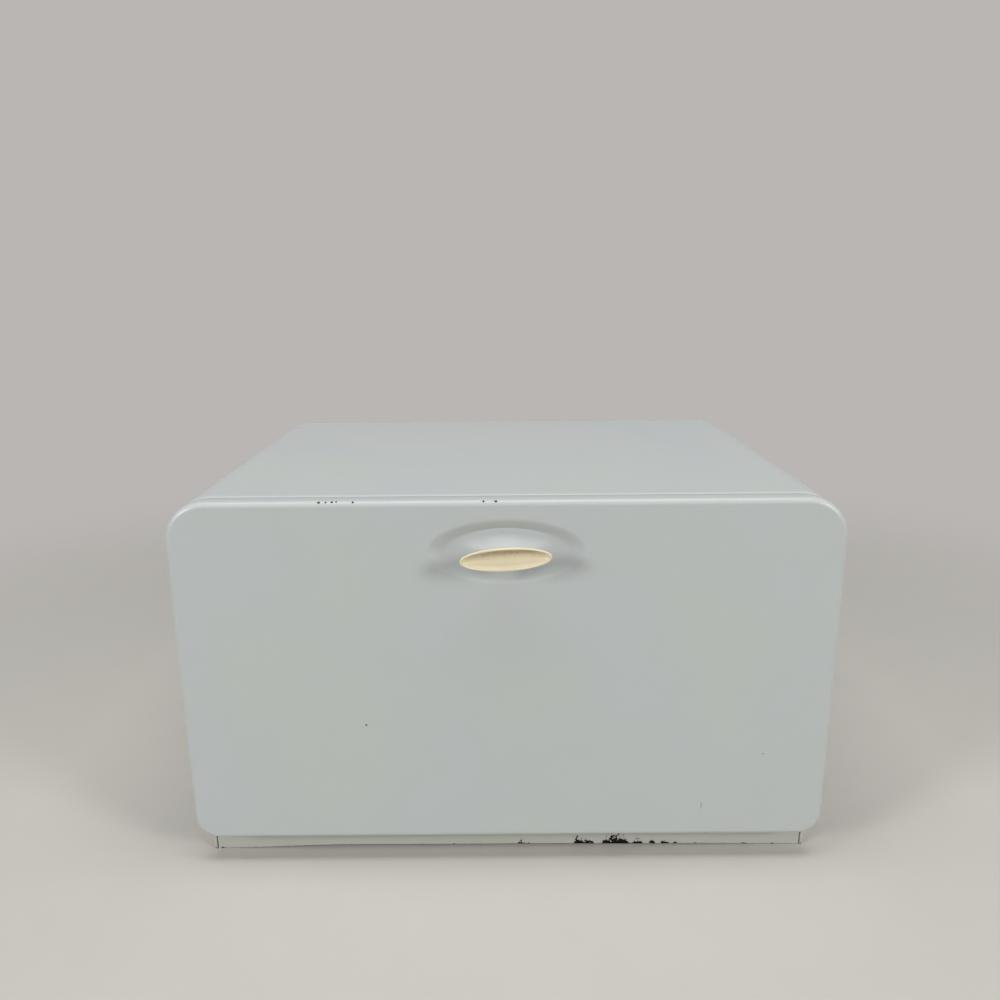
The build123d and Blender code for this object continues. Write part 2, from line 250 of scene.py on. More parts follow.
class Skin:
    """Points and faces of closed surfaces, gathered from several grids."""

    def __init__(self) -> None:
        """Starts with no points."""
        self.points: list[Array] = []
        self.faces: list[Array] = []
        self.count = 0

    def add_rings(self, grid: Array, closed: bool = False) -> None:
        """Adds rings of points and the faces between them, turned so that they face out.

        Args:
            grid: points of shape (rings, points in a ring, 3), in millimetres.
            closed: the last ring joins the first one. If not, each end ring closes to its middle,
                and the two middles are the grid's last points.
        """
        rings, columns = grid.shape[:2]
        points = [grid.reshape(-1, 3)]
        faces = [ring_faces(rings, columns, closed)]
        if not closed:
            ring, pole = np.arange(columns), rings * columns
            points += [grid[:1].mean(axis=1), grid[-1:].mean(axis=1)]
            faces += [pole_faces(ring[::-1], pole), pole_faces(ring + pole - columns, pole + 1)]
        here = np.concatenate(points)
        if signed_volume(here, faces) < 0:
            faces = [f[:, ::-1] for f in faces]
        self.points.append(here)
        self.faces += [f + self.count for f in faces]
        self.count += len(here)

    def piece(self, name: str) -> Object:
        """Makes the object, smooth, with its place in its mesh and itself at the origin.

        Args:
            name: the piece's name.

        Returns:
            The object, linked to the scene.
        """
        mesh = bpy.data.meshes.new(name)
        points = np.concatenate(self.points) * MM
        faces = [face for group in self.faces for face in group.tolist()]
        mesh.from_pydata(points.tolist(), [], faces)
        shade_smooth(mesh)
        mesh.update()
        return add_object(name, mesh)


def smooth_copy(node: str, crease: float) -> Object:
    """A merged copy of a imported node, smooth over its round faces, flat over its flat ones and
    sharp at its creases.

    Args:
        node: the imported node's name. The copy stands for it.
        crease: edges that turn by more than this many degrees stay sharp.

    Returns:
        The copy.
    """
    mesh = bpy.data.objects[node].data.copy()
    work = bmesh.new()
    work.from_mesh(mesh)
    bmesh.ops.remove_doubles(work, verts=work.verts, dist=MERGE_WITHIN * MM)
    work.to_mesh(mesh)
    work.free()
    shade_smooth(mesh)
    mesh.set_sharp_from_angle(angle=math.radians(crease))
    made = add_object(f"{node}_part", mesh)
    by_area = made.modifiers.new("flat faces keep their direction", "WEIGHTED_NORMAL")
    by_area.keep_sharp = True
    by_area.weight = 100
    return made


# ----- Finishes


def linear(hex_colour: str, strength: float = 1.0) -> tuple[float, float, float, float]:
    """An sRGB hex colour as linear light.

    Args:
        hex_colour: six hex digits after a hash.
        strength: multiplies the light.

    Returns:
        Red, green, blue and an alpha of one.
    """
    values = [int(hex_colour[i : i + 2], 16) / 255 for i in (1, 3, 5)]
    light = [v / 12.92 if v <= 0.04045 else ((v + 0.055) / 1.055) ** 2.4 for v in values]
    return (*(strength * v for v in light), 1.0)


def per_metre(length_mm: float) -> float:
    """A noise scale at which one lump is about length_mm across."""
    return 1.0 / (length_mm * MM)


def feed(tree: NodeTree, node: Node, feeds: dict) -> None:
    """Links or sets a node's inputs.

    Args:
        tree: the tree that the node is in.
        node: the node.
        feeds: for each input, by name or number, a value to set, a socket to link, or a node whose
            first output in use is linked.
    """
    for key, value in feeds.items():
        if isinstance(value, Node):
            value = next(output for output in value.outputs if output.enabled)
        if isinstance(value, NodeSocket):
            tree.links.new(value, node.inputs[key])
        else:
            node.inputs[key].default_value = value


def add_node(tree: NodeTree, kind: str, feeds: dict | None = None, **settings) -> Node:
    """Adds one shader node.

    Args:
        tree: the tree that it joins.
        kind: its type, without the word that all shader nodes start with.
        feeds: what its inputs take, as feed() reads it.
        **settings: the node's own settings.

    Returns:
        The node.
    """
    made = tree.nodes.new("ShaderNode" + kind)
    for name, value in settings.items():
        setattr(made, name, value)
    feed(tree, made, feeds or {})
    return made


def new_material(name: str) -> tuple[Material, NodeTree, Node, NodeSocket]:
    """A material with its surface shader, its output and the place on the piece.

    Args:
        name: what the real finish is called.

    Returns:
        The material, its tree, its Principled shader and the socket of object coordinates.
    """
    material = bpy.data.materials.new(name)
    material.use_nodes = True
    tree = material.node_tree
    place = add_node(tree, "TexCoord").outputs["Object"]
    return material, tree, tree.nodes["Principled BSDF"], place


@dataclass(frozen=True)
class Mark:
    """A blemish on the front: a chip, a speck or a scratch, as a small flake at a place on the
    face or its bend, where y is counted back from the face."""

    x: float
    z: float
    width: float
    height: float
    y: float = 0.0
    turn: float = 0.0
    depth: float = 1.0


@dataclass(frozen=True)
class StovedEnamel:
    """Baked enamel paint on steel: a satin skin with a faint orange peel and a few lost flakes.

    The eye gets an even pale grey-green with soft lights, and small dark spots where the skin
    has gone down to the steel.
    """

    name: str = "stoved enamel"
    colour: str = "#B8BDBE"
    warm_colour: str = "#B9BEBB"
    steel_colour: str = "#2A2622"
    rust_colour: str = "#4A3022"
    roughness: float = 0.36
    uneven: float = 0.03  # how far the roughness goes up and down
    bare_roughness: float = 0.8
    bare_gloss: float = 0.08
    cloud: float = 70.0  # size of the tone clouds
    peel: float = 2.2  # size of an orange-peel dimple, drawn coarser than the real 1 mm
    peel_depth: float = 0.006
    wave: float = 85.0  # size of the sheet's shallow buckles
    wave_depth: float = 0.25
    pit_depth: float = 0.15
    rust_grain: float = 0.8
    chip_tooth: float = 0.9  # size of the teeth round a chip, and how far they reach
    chip_reach: float = 1.2
    chip_depth: float = 0.9  # how far a chip reaches before and behind its place
    rust_tooth: float = 1.9
    rust_edge: float = 0.12  # half the width over which rust goes over into paint
    marks: tuple[Mark, ...] = ()
    face_y: float = 0.0  # where the marked face lies
    rusts: bool = False

    def make(self) -> Material:
        """Builds the material.

        Returns:
            The material.
        """
        material, tree, shader, place = new_material(self.name)
        clouds, wave, peel = (
            add_node(tree, "TexNoise", {"Vector": place, "Scale": per_metre(size), "Detail": level})
            for size, level in ((self.cloud, 2.0), (self.wave, 0.0), (self.peel, 1.0))
        )
        tone = add_node(tree, "MapRange", {"Value": clouds, "From Min": 0.35, "From Max": 0.65})
        tones = {"Factor": tone, "A": linear(self.colour), "B": linear(self.warm_colour)}
        paint = add_node(tree, "Mix", tones, data_type="RGBA")
        low, high = self.roughness - self.uneven, self.roughness + self.uneven
        rub = {"Value": clouds, "From Min": 0.3, "From Max": 0.7, "To Min": low, "To Max": high}
        roughness = add_node(tree, "MapRange", rub)
        buckles = {"Height": wave, "Strength": 1.0, "Distance": self.wave_depth * MM}
        dimples = {"Height": peel, "Strength": 1.0, "Distance": self.peel_depth * MM}
        relief = add_node(tree, "Bump", dimples | {"Normal": add_node(tree, "Bump", buckles)})
        looks = {"Base Color": paint, "Roughness": roughness, "Normal": relief, "IOR": 1.5}
        lost = self.lost_paint(tree, place)
        if lost is not None:
            grain = {"Vector": place, "Scale": per_metre(self.rust_grain), "Detail": 3.0}
            rust = {"Factor": add_node(tree, "TexNoise", grain)}
            rust |= {"A": linear(self.steel_colour, 0.35), "B": linear(self.rust_colour, 0.25)}
            steel = add_node(tree, "Mix", rust, data_type="RGBA")
            bare = {"Factor": lost, "A": paint, "B": steel}
            pits = {"Height": lost, "Strength": 1.0, "Distance": self.pit_depth * MM}
            dull = {"Factor": lost, "A": roughness, "B": self.bare_roughness}
            gloss = {"Factor": lost, "A": 0.5, "B": self.bare_gloss}
            looks["Base Color"] = add_node(tree, "Mix", bare, data_type="RGBA")
            looks["Roughness"] = add_node(tree, "Mix", dull, data_type="FLOAT")
            looks["Normal"] = add_node(tree, "Bump", pits | {"Normal": relief}, invert=True)
            looks["Specular IOR Level"] = add_node(tree, "Mix", gloss, data_type="FLOAT")
        feed(tree, shader, looks)
        return material

    def lost_paint(self, tree: NodeTree, place: NodeSocket) -> Node | None:
        """Where the paint is gone, from 0 to 1: along the rusted edge and in a flake round each
        mark, whose outline noise makes ragged.

        Args:
            tree: the material's tree.
            place: the socket of object coordinates.

        Returns:
            A node, or None for paint that is whole.
        """
        lost = self.rusted_edge(tree, place) if self.rusts else None
        if not self.marks:
            return lost
        teeth = {"Vector": place, "Scale": per_metre(self.chip_tooth), "Detail": 2.0}
        ragged = add_node(tree, "TexNoise", teeth).outputs["Color"]
        shift = add_node(tree, "VectorMath", {0: ragged, 1: (0.5, 0.5, 0.5)}, operation="SUBTRACT")
        shift = {0: shift, "Scale": self.chip_reach * MM}
        shift = add_node(tree, "VectorMath", shift, operation="SCALE")
        torn = add_node(tree, "VectorMath", {0: place, 1: shift}, operation="ADD")
        for mark in self.marks:
            at = {
                "Vector": torn,
                "Location": (mark.x * MM, (self.face_y + mark.y) * MM, mark.z * MM),
                "Rotation": (0.0, math.radians(mark.turn), 0.0),
                "Scale": (mark.width * MM / 2, self.chip_depth * MM, mark.height * MM / 2),
            }
            spot = add_node(tree, "Mapping", at, vector_type="TEXTURE")
            reach = add_node(tree, "VectorMath", {0: spot}, operation="LENGTH")
            fade = {"Value": reach, "From Min": 0.75, "From Max": 1.15}
            inside = add_node(tree, "MapRange", fade | {"To Min": mark.depth, "To Max": 0.0})
            if lost is not None:
                inside = add_node(tree, "Math", {0: lost, 1: inside}, operation="MAXIMUM")
            lost = inside
        return lost

    def rusted_edge(self, tree: NodeTree, place: NodeSocket) -> Node:
        """Where rust has eaten up from a lower edge: below the height that the piece stores for
        each place along the edge, made ragged by noise.

        Args:
            tree: the material's tree.
            place: the socket of object coordinates.

        Returns:
            A node whose output goes from 0 to 1.
        """
        above = add_node(tree, "Attribute", attribute_name="above_edge").outputs["Fac"]
        eaten = add_node(tree, "Attribute", attribute_name="rust_height").outputs["Fac"]
        teeth = {"Vector": place, "Scale": per_metre(self.rust_tooth), "Detail": 4.0}
        ragged = add_node(tree, "TexNoise", teeth)
        swing = {"Value": ragged, "From Min": 0.35, "From Max": 0.65, "To Min": 0.15, "To Max": 1.5}
        swing = add_node(tree, "MapRange", swing)
        reach = add_node(tree, "Math", {0: eaten, 1: swing}, operation="MULTIPLY")
        over = add_node(tree, "Math", {0: above, 1: reach}, operation="SUBTRACT")
        half = self.rust_edge * MM
        edge = {"Value": over, "From Min": -half, "From Max": half, "To Min": 1.0, "To Max": 0.0}
        return add_node(tree, "MapRange", edge)


@dataclass(frozen=True)
class CreamUrea:
    """Moulded urea plastic that has yellowed: a warm cream with a soft gloss, a little light
    below its skin, and in its dish under the upper lip painted shade together with grime."""

    name: str = "cream urea plastic"
    colour: str = "#E7DEC3"
    aged_colour: str = "#E0D2B0"
    shade_and_grime_colour: str = "#7A6238"
    shade_and_grime_cover: float = 0.55
    roughness: float = 0.3
    cloud: float = 9.0
    streak: float = 2.0
    streak_depth: float = 0.02
    light_below: Triple = (1.2, 0.9, 0.5)  # how far red, green and blue go in

    def make(self) -> Material:
        """Builds the material.

        Returns:
            The material.
        """
        material, tree, shader, place = new_material(self.name)
        clouds, streaks = (
            add_node(tree, "TexNoise", {"Vector": place, "Scale": per_metre(size), "Detail": level})
            for size, level in ((self.cloud, 3.0), (self.streak, 4.0))
        )
        tones = {"Factor": clouds, "A": linear(self.colour), "B": linear(self.aged_colour)}
        body = add_node(tree, "Mix", tones, data_type="RGBA")
        # The stored mask darkens the dish under the upper lip: painted shade from the lip, with
        # some grime.
        dish_shade_and_grime = add_node(tree, "Attribute", attribute_name="dish_shade_and_grime").outputs["Fac"]
        patchy = {"Value": streaks, "From Min": 0.35, "From Max": 0.65, "To Min": 0.6}
        patchy = add_node(tree, "MapRange", patchy)
        shade_and_dirt = add_node(tree, "Math", {0: dish_shade_and_grime, 1: patchy}, operation="MULTIPLY")
        shade_and_dirt = add_node(tree, "Math", {0: shade_and_dirt, 1: self.shade_and_grime_cover}, operation="MULTIPLY")
        shaded_and_soiled = {"Factor": shade_and_dirt, "A": body, "B": linear(self.shade_and_grime_colour)}
        relief = {"Height": streaks, "Strength": 1.0, "Distance": self.streak_depth * MM}
        looks = {
            "Base Color": add_node(tree, "Mix", shaded_and_soiled, data_type="RGBA"),
            "Normal": add_node(tree, "Bump", relief),
            "Roughness": self.roughness,
            "IOR": 1.6,
            "Subsurface Weight": 0.12,
            "Subsurface Radius": tuple(MM * depth for depth in self.light_below),
            "Subsurface Scale": 1.0,
        }
        feed(tree, shader, looks)
        return material


@dataclass(frozen=True)
class ZincPlate:
    """Bright zinc on rolled steel: a cool grey metal, cloudy where the plating has dulled."""

    name: str = "zinc plated steel"
    colour: str = "#C4C7C9"
    dull_colour: str = "#A6A8A6"
    dull_roughness: float = 0.48
    bright_roughness: float = 0.28
    crystal: float = 5.0
    cloud: float = 14.0

    def make(self) -> Material:
        """Builds the material.

        Returns:
            The material.
        """
        material, tree, shader, place = new_material(self.name)
        crystals = add_node(tree, "TexVoronoi", {"Vector": place, "Scale": per_metre(self.crystal)})
        clouds = {"Vector": place, "Scale": per_metre(self.cloud), "Detail": 3.0}
        clouds = add_node(tree, "TexNoise", clouds)
        blend = {"Factor": 0.35, "A": clouds.outputs["Color"], "B": crystals.outputs["Color"]}
        level = add_node(tree, "RGBToBW", {"Color": add_node(tree, "Mix", blend, data_type="RGBA")})
        tones = {"Factor": level, "A": linear(self.dull_colour), "B": linear(self.colour)}
        rub = {"Value": level, "To Min": self.dull_roughness, "To Max": self.bright_roughness}
        looks = {
            "Base Color": add_node(tree, "Mix", tones, data_type="RGBA"),
            "Roughness": add_node(tree, "MapRange", rub),
            "Metallic": 1.0,
        }
        feed(tree, shader, looks)
        return material


@dataclass(frozen=True)
class PlainFinish:
    """A moulded or turned finish with cloudy tone and fine grain, for small hidden pieces."""

    name: str
    colour: str
    dark_colour: str
    roughness: float
    metallic: float = 0.0
    grain: float = 1.5
    grain_depth: float = 0.03

    def make(self) -> Material:
        """Builds the material.

        Returns:
            The material.
        """
        material, tree, shader, place = new_material(self.name)
        grain = {"Vector": place, "Scale": per_metre(self.grain), "Detail": 4.0}
        grain = add_node(tree, "TexNoise", grain)
        tones = {"Factor": grain, "A": linear(self.dark_colour), "B": linear(self.colour)}
        relief = {"Height": grain, "Strength": 1.0, "Distance": self.grain_depth * MM}
        looks = {
            "Base Color": add_node(tree, "Mix", tones, data_type="RGBA"),
            "Normal": add_node(tree, "Bump", relief),
            "Roughness": self.roughness,
            "Metallic": self.metallic,
        }
        feed(tree, shader, looks)
        return material


class Finish(Enum):
    """The finishes that the box's pieces have: a word for each, and its slot in the record."""

    ENAMEL = ("sound", "enamel")
    CHIPPED_ENAMEL = ("chipped", "enamel")
    RUSTED_ENAMEL = ("rusted", "enamel")
    RIVET_ENAMEL = ("on rivets", "painted_rivets")
    ZINC = ("plated", "zinc_steel")
    CREAM = ("moulded", "cream_plastic")
    RUBBER = ("moulded", "black_rubber")
    BRASS = ("turned", "brass")

    @property
    def slot(self) -> str:
        """The record's material slot."""
        return self.value[1]


class Body(Enum):
    """The two bodies that move against each other."""

    CASE = "case"
    DRAWER = "drawer"


class Palette:
    """All finishes, each made once."""

    def __init__(self, front_marks: tuple[Mark, ...], face_y: float) -> None:
        """Makes the materials.

        Args:
            front_marks: the chips, specks and scratches on the drawer front.
            face_y: where the drawer front's face lies.
        """
        chipped = StovedEnamel("stoved enamel, chipped", marks=front_marks, face_y=face_y)
        # The plinth's enamel is warmer and a little darker than the body's: painted shade and a
        # painted warm bounce from the table, for the skirt under the front's overhang.
        rusted = StovedEnamel("stoved enamel, rusted edge", "#B7B8B0", "#B8B9AE", rusts=True)
        makers = {
            Finish.ENAMEL: StovedEnamel(),
            Finish.CHIPPED_ENAMEL: chipped,
            Finish.RUSTED_ENAMEL: rusted,
            Finish.RIVET_ENAMEL: StovedEnamel("stoved enamel on rivets", cloud=12.0),
            Finish.ZINC: ZincPlate(),
            Finish.CREAM: CreamUrea(),
            Finish.RUBBER: PlainFinish("moulded black rubber", "#2B2B2B", "#1C1C1C", 0.75),
            Finish.BRASS: PlainFinish("turned brass", "#C9A35A", "#A8823F", 0.3, metallic=1.0),
        }
        self.materials = {finish: maker.make() for finish, maker in makers.items()}

    def dress(self, piece: Object, finish: Finish, body: Body, *nodes: str) -> None:
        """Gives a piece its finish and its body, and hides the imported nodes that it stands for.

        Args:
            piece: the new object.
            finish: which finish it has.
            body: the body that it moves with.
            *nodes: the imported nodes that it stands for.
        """
        piece.data.materials.clear()
        piece.data.materials.append(self.materials[finish])
        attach(piece, body.value)
        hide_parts(*nodes)
        log.info("%s: %d faces, %s", piece.name, len(piece.data.polygons), finish.name.lower())


# ----- The body's outline


@dataclass(frozen=True)
class RoundedOutline:
    """An outline with round corners: the one that the front and the case share, seen from the
    front, or a plate's, seen from above."""

    half_width: float
    bottom: float
    top: float
    top_radius: float = 22.0
    bottom_radius: float = 13.0

    @classmethod
    def of_node(cls, node: str) -> "RoundedOutline":
        """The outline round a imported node's box."""
        low, high = corners_mm(node)
        return cls(half_width=high[0], bottom=low[2], top=high[2])

    def trace(self, corner_steps: int, side_steps: tuple[int, ...]) -> tuple[Array, Array]:
        """Points round the outline, and the direction outwards at each.

        A corner is its centre plus its radius times (cos a, sin a), over a quarter turn, and a
        side is spaced evenly between two corners.

        Args:
            corner_steps: chords in each corner.
            side_steps: pieces of the top, left, bottom and right side.

        Returns:
            Two arrays of x and z, in a row round the outline.
        """
        radii = (self.top_radius, self.top_radius, self.bottom_radius, self.bottom_radius)
        signs = ((1, 1), (-1, 1), (-1, -1), (1, -1))
        middle = (self.bottom + self.top) / 2
        half_height = (self.top - self.bottom) / 2
        bends, turns = [], []
        for start, radius, (sx, sz) in zip((0, 90, 180, 270), radii, signs):
            centre = (sx * (self.half_width - radius), middle + sz * (half_height - radius))
            bends.append(arc(centre, radius, start, start + 90, corner_steps))
            turns.append(arc((0.0, 0.0), 1.0, start, start + 90, corner_steps))
        points, outward = [], []
        for number, (bend, turn) in enumerate(zip(bends, turns)):
            straight = run_along(bend[-1], bends[(number + 1) % 4][0], side_steps[number])[1:-1]
            points += [bend, straight]
            outward += [turn, np.repeat(turn[-1:], len(straight), axis=0)]
        return np.concatenate(points), np.concatenate(outward)


def carried_round(points: Array, outward: Array, profile: Array) -> Array:
    """A profile carried round an outline: each point of the outline moves inwards by the
    profile's first number and lies at its second number along Y.

    Args:
        points: the outline's x and z.
        outward: its outward directions.
        profile: rows of inset and y.

    Returns:
        A grid with one ring for each row of the profile.
    """
    flat = points[None] - profile[:, :1, None] * outward[None]
    return stacked(flat[..., 0], profile[:, 1:], flat[..., 1])


# ----- The drawer's face


@dataclass(frozen=True)
class FingerRecess:
    """The oval dish behind the handle, with the raised seat in its middle."""

    drop: float = 28.0  # from the body's top to the dish's middle
    half_length: float = 41.0
    half_height: float = 17.25
    depth: float = 4.0
    wall_run: Pair = (9.0, 5.2)  # how far the wall leans in, at the ends and the top
    foot: Pair = (27.0, 12.0)  # where the seat's slope runs out on the floor
    seat: Pair = (9.0, 3.2)
    seat_rise: float = 2.4  # how far the seat stands out past the face
    hollow: float = 1.1  # 1 makes the seat's slope straight, more makes it steeper at the seat
    hole: float = 1.55
    apron: float = 3.5  # flat ring round the dish in which its edge rounds off
    seat_rings: int = 6  # rings that make the seat's top, and its slope
    slope_rings: int = 24
    outer_rings: tuple[int, ...] = (8, 14, 10)  # of the floor, the wall and the apron

    def rings(self) -> Array:
        """Half length, half height and depth of each oval from the screw hole outwards.

        The seat, the floor, the wall and the apron are straight stretches. Between seat and
        floor the depth falls from the floor's by (1 - t)^hollow of the rise, where t goes from 0
        at the seat to 1 at the floor. All is averaged over about 2 mm, which rounds the press
        tool's edges into each other.

        Returns:
            An array of three columns.
        """
        t = np.linspace(0.0, 1.0, self.slope_rings + 1)[:-1, None]
        seat, foot = np.array(self.seat), np.array(self.foot)
        fall = self.depth - (self.depth + self.seat_rise) * (1.0 - t) ** self.hollow
        slope = np.concatenate([seat + t * (foot - seat), fall], axis=1)
        brim = np.array([self.half_length, self.half_height])
        stops = [
            (*self.foot, self.depth),
            (*(brim - self.wall_run), self.depth),
            (*brim, 0.0),
            (*(brim + self.apron), 0.0),
        ]
        hole = (self.hole, self.hole, -self.seat_rise)
        top = run_along(hole, (*self.seat, -self.seat_rise), self.seat_rings)[:-1]
        outer = [run_along(a, b, n)[:-1] for a, b, n in zip(stops, stops[1:], self.outer_rings)]
        return softened(np.concatenate([top, slope, *outer, stops[-1:]]))


@dataclass(frozen=True)
class DrawerFront:
    """The pressed pan that closes the box: a flat face with a rolled bend into its flange."""

    recess: FingerRecess = field(default_factory=FingerRecess)
    bend: float = 3.2
    sheet: float = 0.8
    edge: float = 0.4  # rounding of the flange's cut edge
    hold: float = 0.35  # from the bend to the ring that keeps the flat part flat
    face_rings: tuple[float, ...] = (0.12, 0.3, 0.55, 0.8)  # as shares of the way to the outline
    marks: tuple[Mark, ...] = (
        # chips on the upper bend, left of the middle and near it
        Mark(-97.5, 216.5, 1.5, 1.0, y=1.2),
        Mark(-93.9, 216.4, 1.1, 0.9, y=1.2),
        Mark(-90.7, 216.5, 1.3, 0.9, y=1.2),
        Mark(-88.5, 216.7, 1.2, 0.8, y=1.4),
        Mark(-79.8, 216.4, 1.0, 0.8, y=1.2),
        Mark(-11.9, 216.4, 1.5, 1.0, y=1.2),
        Mark(-5.3, 216.4, 1.8, 1.1, y=1.2),
        # specks and scratches on the face
        Mark(-78.7, 88.5, 1.3, 1.0, depth=0.75),
        Mark(143.6, 68.5, 0.9, 0.8, depth=0.55),
        Mark(110.3, 35.8, 0.55, 4.6, turn=2.0, depth=0.45),
        Mark(114.1, 17.6, 0.9, 0.7, depth=0.4),
        Mark(121.0, 18.0, 0.8, 1.6, depth=0.35),
    )

    def grid(self) -> Array:
        """The whole pan as one closed grid of rings.

        Rings run from the screw hole over the dish and the flat face to the outline, round the
        bend, back along the flange, round its cut edge, and the same way home along the inside
        of the sheet. On the flat face each ring lies part of the way from the dish's outer oval
        to the outline, on straight rays from the dish's middle. Behind the seat the metal is
        thick enough to reach the handle's washer.

        Returns:
            Points of shape (rings, points in a ring, 3).
        """
        low, high = corners_mm("drawer_front")
        outline = RoundedOutline.of_node("drawer_front")
        points, outward = outline.trace(corner_steps=20, side_steps=(160, 110, 44, 110))
        recess, bend, edge = self.recess, self.bend, self.edge
        middle = outline.top - recess.drop
        rim = np.concatenate([
            [[bend + self.hold, 0.0]],
            arc((bend, bend), bend, -90, -180, 12),
            [[0.0, bend + self.hold]],
            arc((edge, high[1] - low[1] - edge), edge, 180, 0, 8),
            [[self.sheet, bend + self.hold]],
            arc((bend, bend), bend - self.sheet, 180, 270, 12),
        ])
        rim = carried_round(points, outward, rim)
        ovals = recess.rings()
        ray = points - (0.0, middle)
        angle = np.arctan2(ray[:, 1] / recess.half_height, ray[:, 0] / recess.half_length)
        height = middle + ovals[:, 1:2] * np.sin(angle)
        dish = stacked(ovals[:, :1] * np.cos(angle), ovals[:, 2:], height)
        share = np.array(self.face_rings)[:, None, None]
        face = dish[-1] + share * (rim[0] - dish[-1])
        behind = np.array([0.0, self.sheet, 0.0])
        inner_dish = dish + behind
        backing = inner_dish[: recess.seat_rings + recess.slope_rings, :, 1]
        np.maximum(backing, corners_mm("handle_washer")[0][1] - low[1], out=backing)
        grid = np.concatenate([dish, face, rim, (face + behind)[::-1], inner_dish[::-1][::2]])
        return grid + (0.0, low[1], 0.0)

    def build(self, palette: Palette) -> None:
        """Makes the pan and dresses it."""
        skin = Skin()
        skin.add_rings(self.grid(), closed=True)
        palette.dress(skin.piece("front_pan"), Finish.CHIPPED_ENAMEL, Body.DRAWER, "drawer_front")


@dataclass(frozen=True)
class Handle:
    """The cream pull: a stem that flares to a long oval, with a dished face inside a lip."""

    half_length: float = 23.65
    half_height: float = 6.2
    aside: float = -0.5  # from the stem's middle to the oval's, along X
    lift: float = 0.6  # and up
    stem_lift: float = -0.2
    reach: float = 15.0
    base: float = 2.4  # where the stem stands on the seat, as a reach
    stem: Pair = (4.4, 2.9)
    lip: float = 0.6  # radius of the lip's round top
    dish: float = 5.2
    dish_wall: float = 1.3  # 1 makes the dish a round bowl, more makes its wall steeper
    dish_rise: float = 1.7  # how far above its middle the dish is deepest
    fullness: float = 2.08  # 2 is an ellipse, more is fuller at the ends
    tilt: float = 3.0
    neck: Pair = (1.35, 0.34)  # how much wider the stem gets, and at which share of the reach
    shoulder: Triple = (0.80, 0.68, 0.6)  # shares of the oval's size, of the reach and of the lift
    side: float = 0.4  # the oval's straight side below its lip
    middle_share: float = 0.97  # how far the dish closes before its pole
    columns: int = 176
    steps: int = 12  # rings in each stretch of the flare, and in the lip
    dish_rings: int = 23
    lip_grime: float = 0.2
    shade_and_grime_start: float = 0.2  # share of the dish over which its painted shade and grime set in
    shade_and_grime_low: float = -0.4  # where the dish's painted shade and grime begin, and over how much they grow
    shade_and_grime_span: float = 4.0
    shade_and_grime_power: float = 1.3

    def rings(self) -> tuple[Array, Array]:
        """Half length, half height, reach and middle of each ring from the stem's foot to the
        middle of the dish, and how far each ring lies on the lip or inside it.

        The bowl's radius shrinks with t^dish_wall while its depth grows with the sine of t times
        a quarter turn, where t goes from 0 at the lip to 1 in the middle.

        Returns:
            An array of five columns, and one of two values from 0 to 1 for each ring: on the
            lip, and inside the dish.
        """
        size = np.array([self.half_length, self.half_height])
        middle = np.array([self.aside, self.lift])
        neck_size, neck_reach = self.neck
        full, up, lifted = self.shoulder
        stops = [
            (*self.stem, self.base, 0.0, self.stem_lift),
            (self.stem[0] * neck_size, self.stem[1], self.reach * neck_reach, 0.0, self.stem_lift),
            (*(size * full), self.reach * up, self.aside, self.lift * lifted),
            (*size, self.reach - self.lip - self.side, self.aside, self.lift),
        ]
        flare = [run_along(a, b, self.steps)[:-1] for a, b in zip(stops, stops[1:])]
        flare = softened(np.concatenate([*flare, stops[-1:]]))
        turn = arc((0.0, self.reach - self.lip), self.lip, 0, 180, self.steps)
        lip = np.concatenate([size + turn[:, :1] - self.lip, turn[:, 1:]], axis=1)
        lip = np.concatenate([lip, np.repeat(middle[None], len(lip), axis=0)], axis=1)
        share = np.linspace(0.0, 1.0, self.dish_rings + 1)[1:, None]
        bowl = [
            (size - 2 * self.lip) * (1.0 - self.middle_share * share**self.dish_wall),
            self.reach - self.lip - (self.dish - self.lip) * np.sin(share * math.pi / 2),
            middle + share * (0.0, self.dish_rise),
        ]
        rings = np.concatenate([flare, lip, np.concatenate(bowl, axis=1)])
        where = np.zeros((len(rings), 2))
        where[len(flare) : len(flare) + len(lip), 0] = 1.0
        where[len(flare) + len(lip) :, 1] = np.minimum(share[:, 0] / self.shade_and_grime_start, 1.0)
        return rings, where

    def build(self, palette: Palette) -> None:
        """Makes the handle and dresses it.

        A ring is x = length * |cos a|^(2/n), z = height * |sin a|^(2/n), with their signs, where
        n is the fullness, all turned by the tilt. The dish is darkened most in its upper and
        deepest part, under the upper lip, with a trace on the lip: painted shade together with
        grime. It grows with the height plus a third of the depth, from shade_and_grime_low over
        shade_and_grime_span, as their share to the power of shade_and_grime_power.
        """
        low, high = corners_mm("handle")
        rings, where = self.rings()
        angle = np.linspace(0, 2 * math.pi, self.columns, endpoint=False)
        power = 2 / self.fullness
        cos, sin = np.cos(angle), np.sin(angle)
        x = rings[:, :1] * np.sign(cos) * np.abs(cos) ** power
        z = rings[:, 1:2] * np.sign(sin) * np.abs(sin) ** power
        tilt = math.radians(self.tilt)
        grid = stacked(
            rings[:, 3:4] + x * math.cos(tilt) - z * math.sin(tilt),
            low[1] + self.reach - rings[:, 2:3],
            (low[2] + high[2]) / 2 + rings[:, 4:] + x * math.sin(tilt) + z * math.cos(tilt),
        )
        skin = Skin()
        skin.add_rings(grid)
        piece = skin.piece("pull_handle")
        # Painted shade with grime: darker high up under the lip and deep in the dish.
        height = z + rings[:, 4:] - self.lift + (self.reach - rings[:, 2:3]) / 3
        inside = np.clip((height - self.shade_and_grime_low) / self.shade_and_grime_span, 0.0, 1.0)
        shade_and_grime = self.lip_grime * where[:, :1] + where[:, 1:] * inside**self.shade_and_grime_power
        store(piece, "dish_shade_and_grime", [shade_and_grime, np.zeros(1), shade_and_grime[-1].mean(keepdims=True)])
        palette.dress(piece, Finish.CREAM, Body.DRAWER, "handle")


# ----- The case


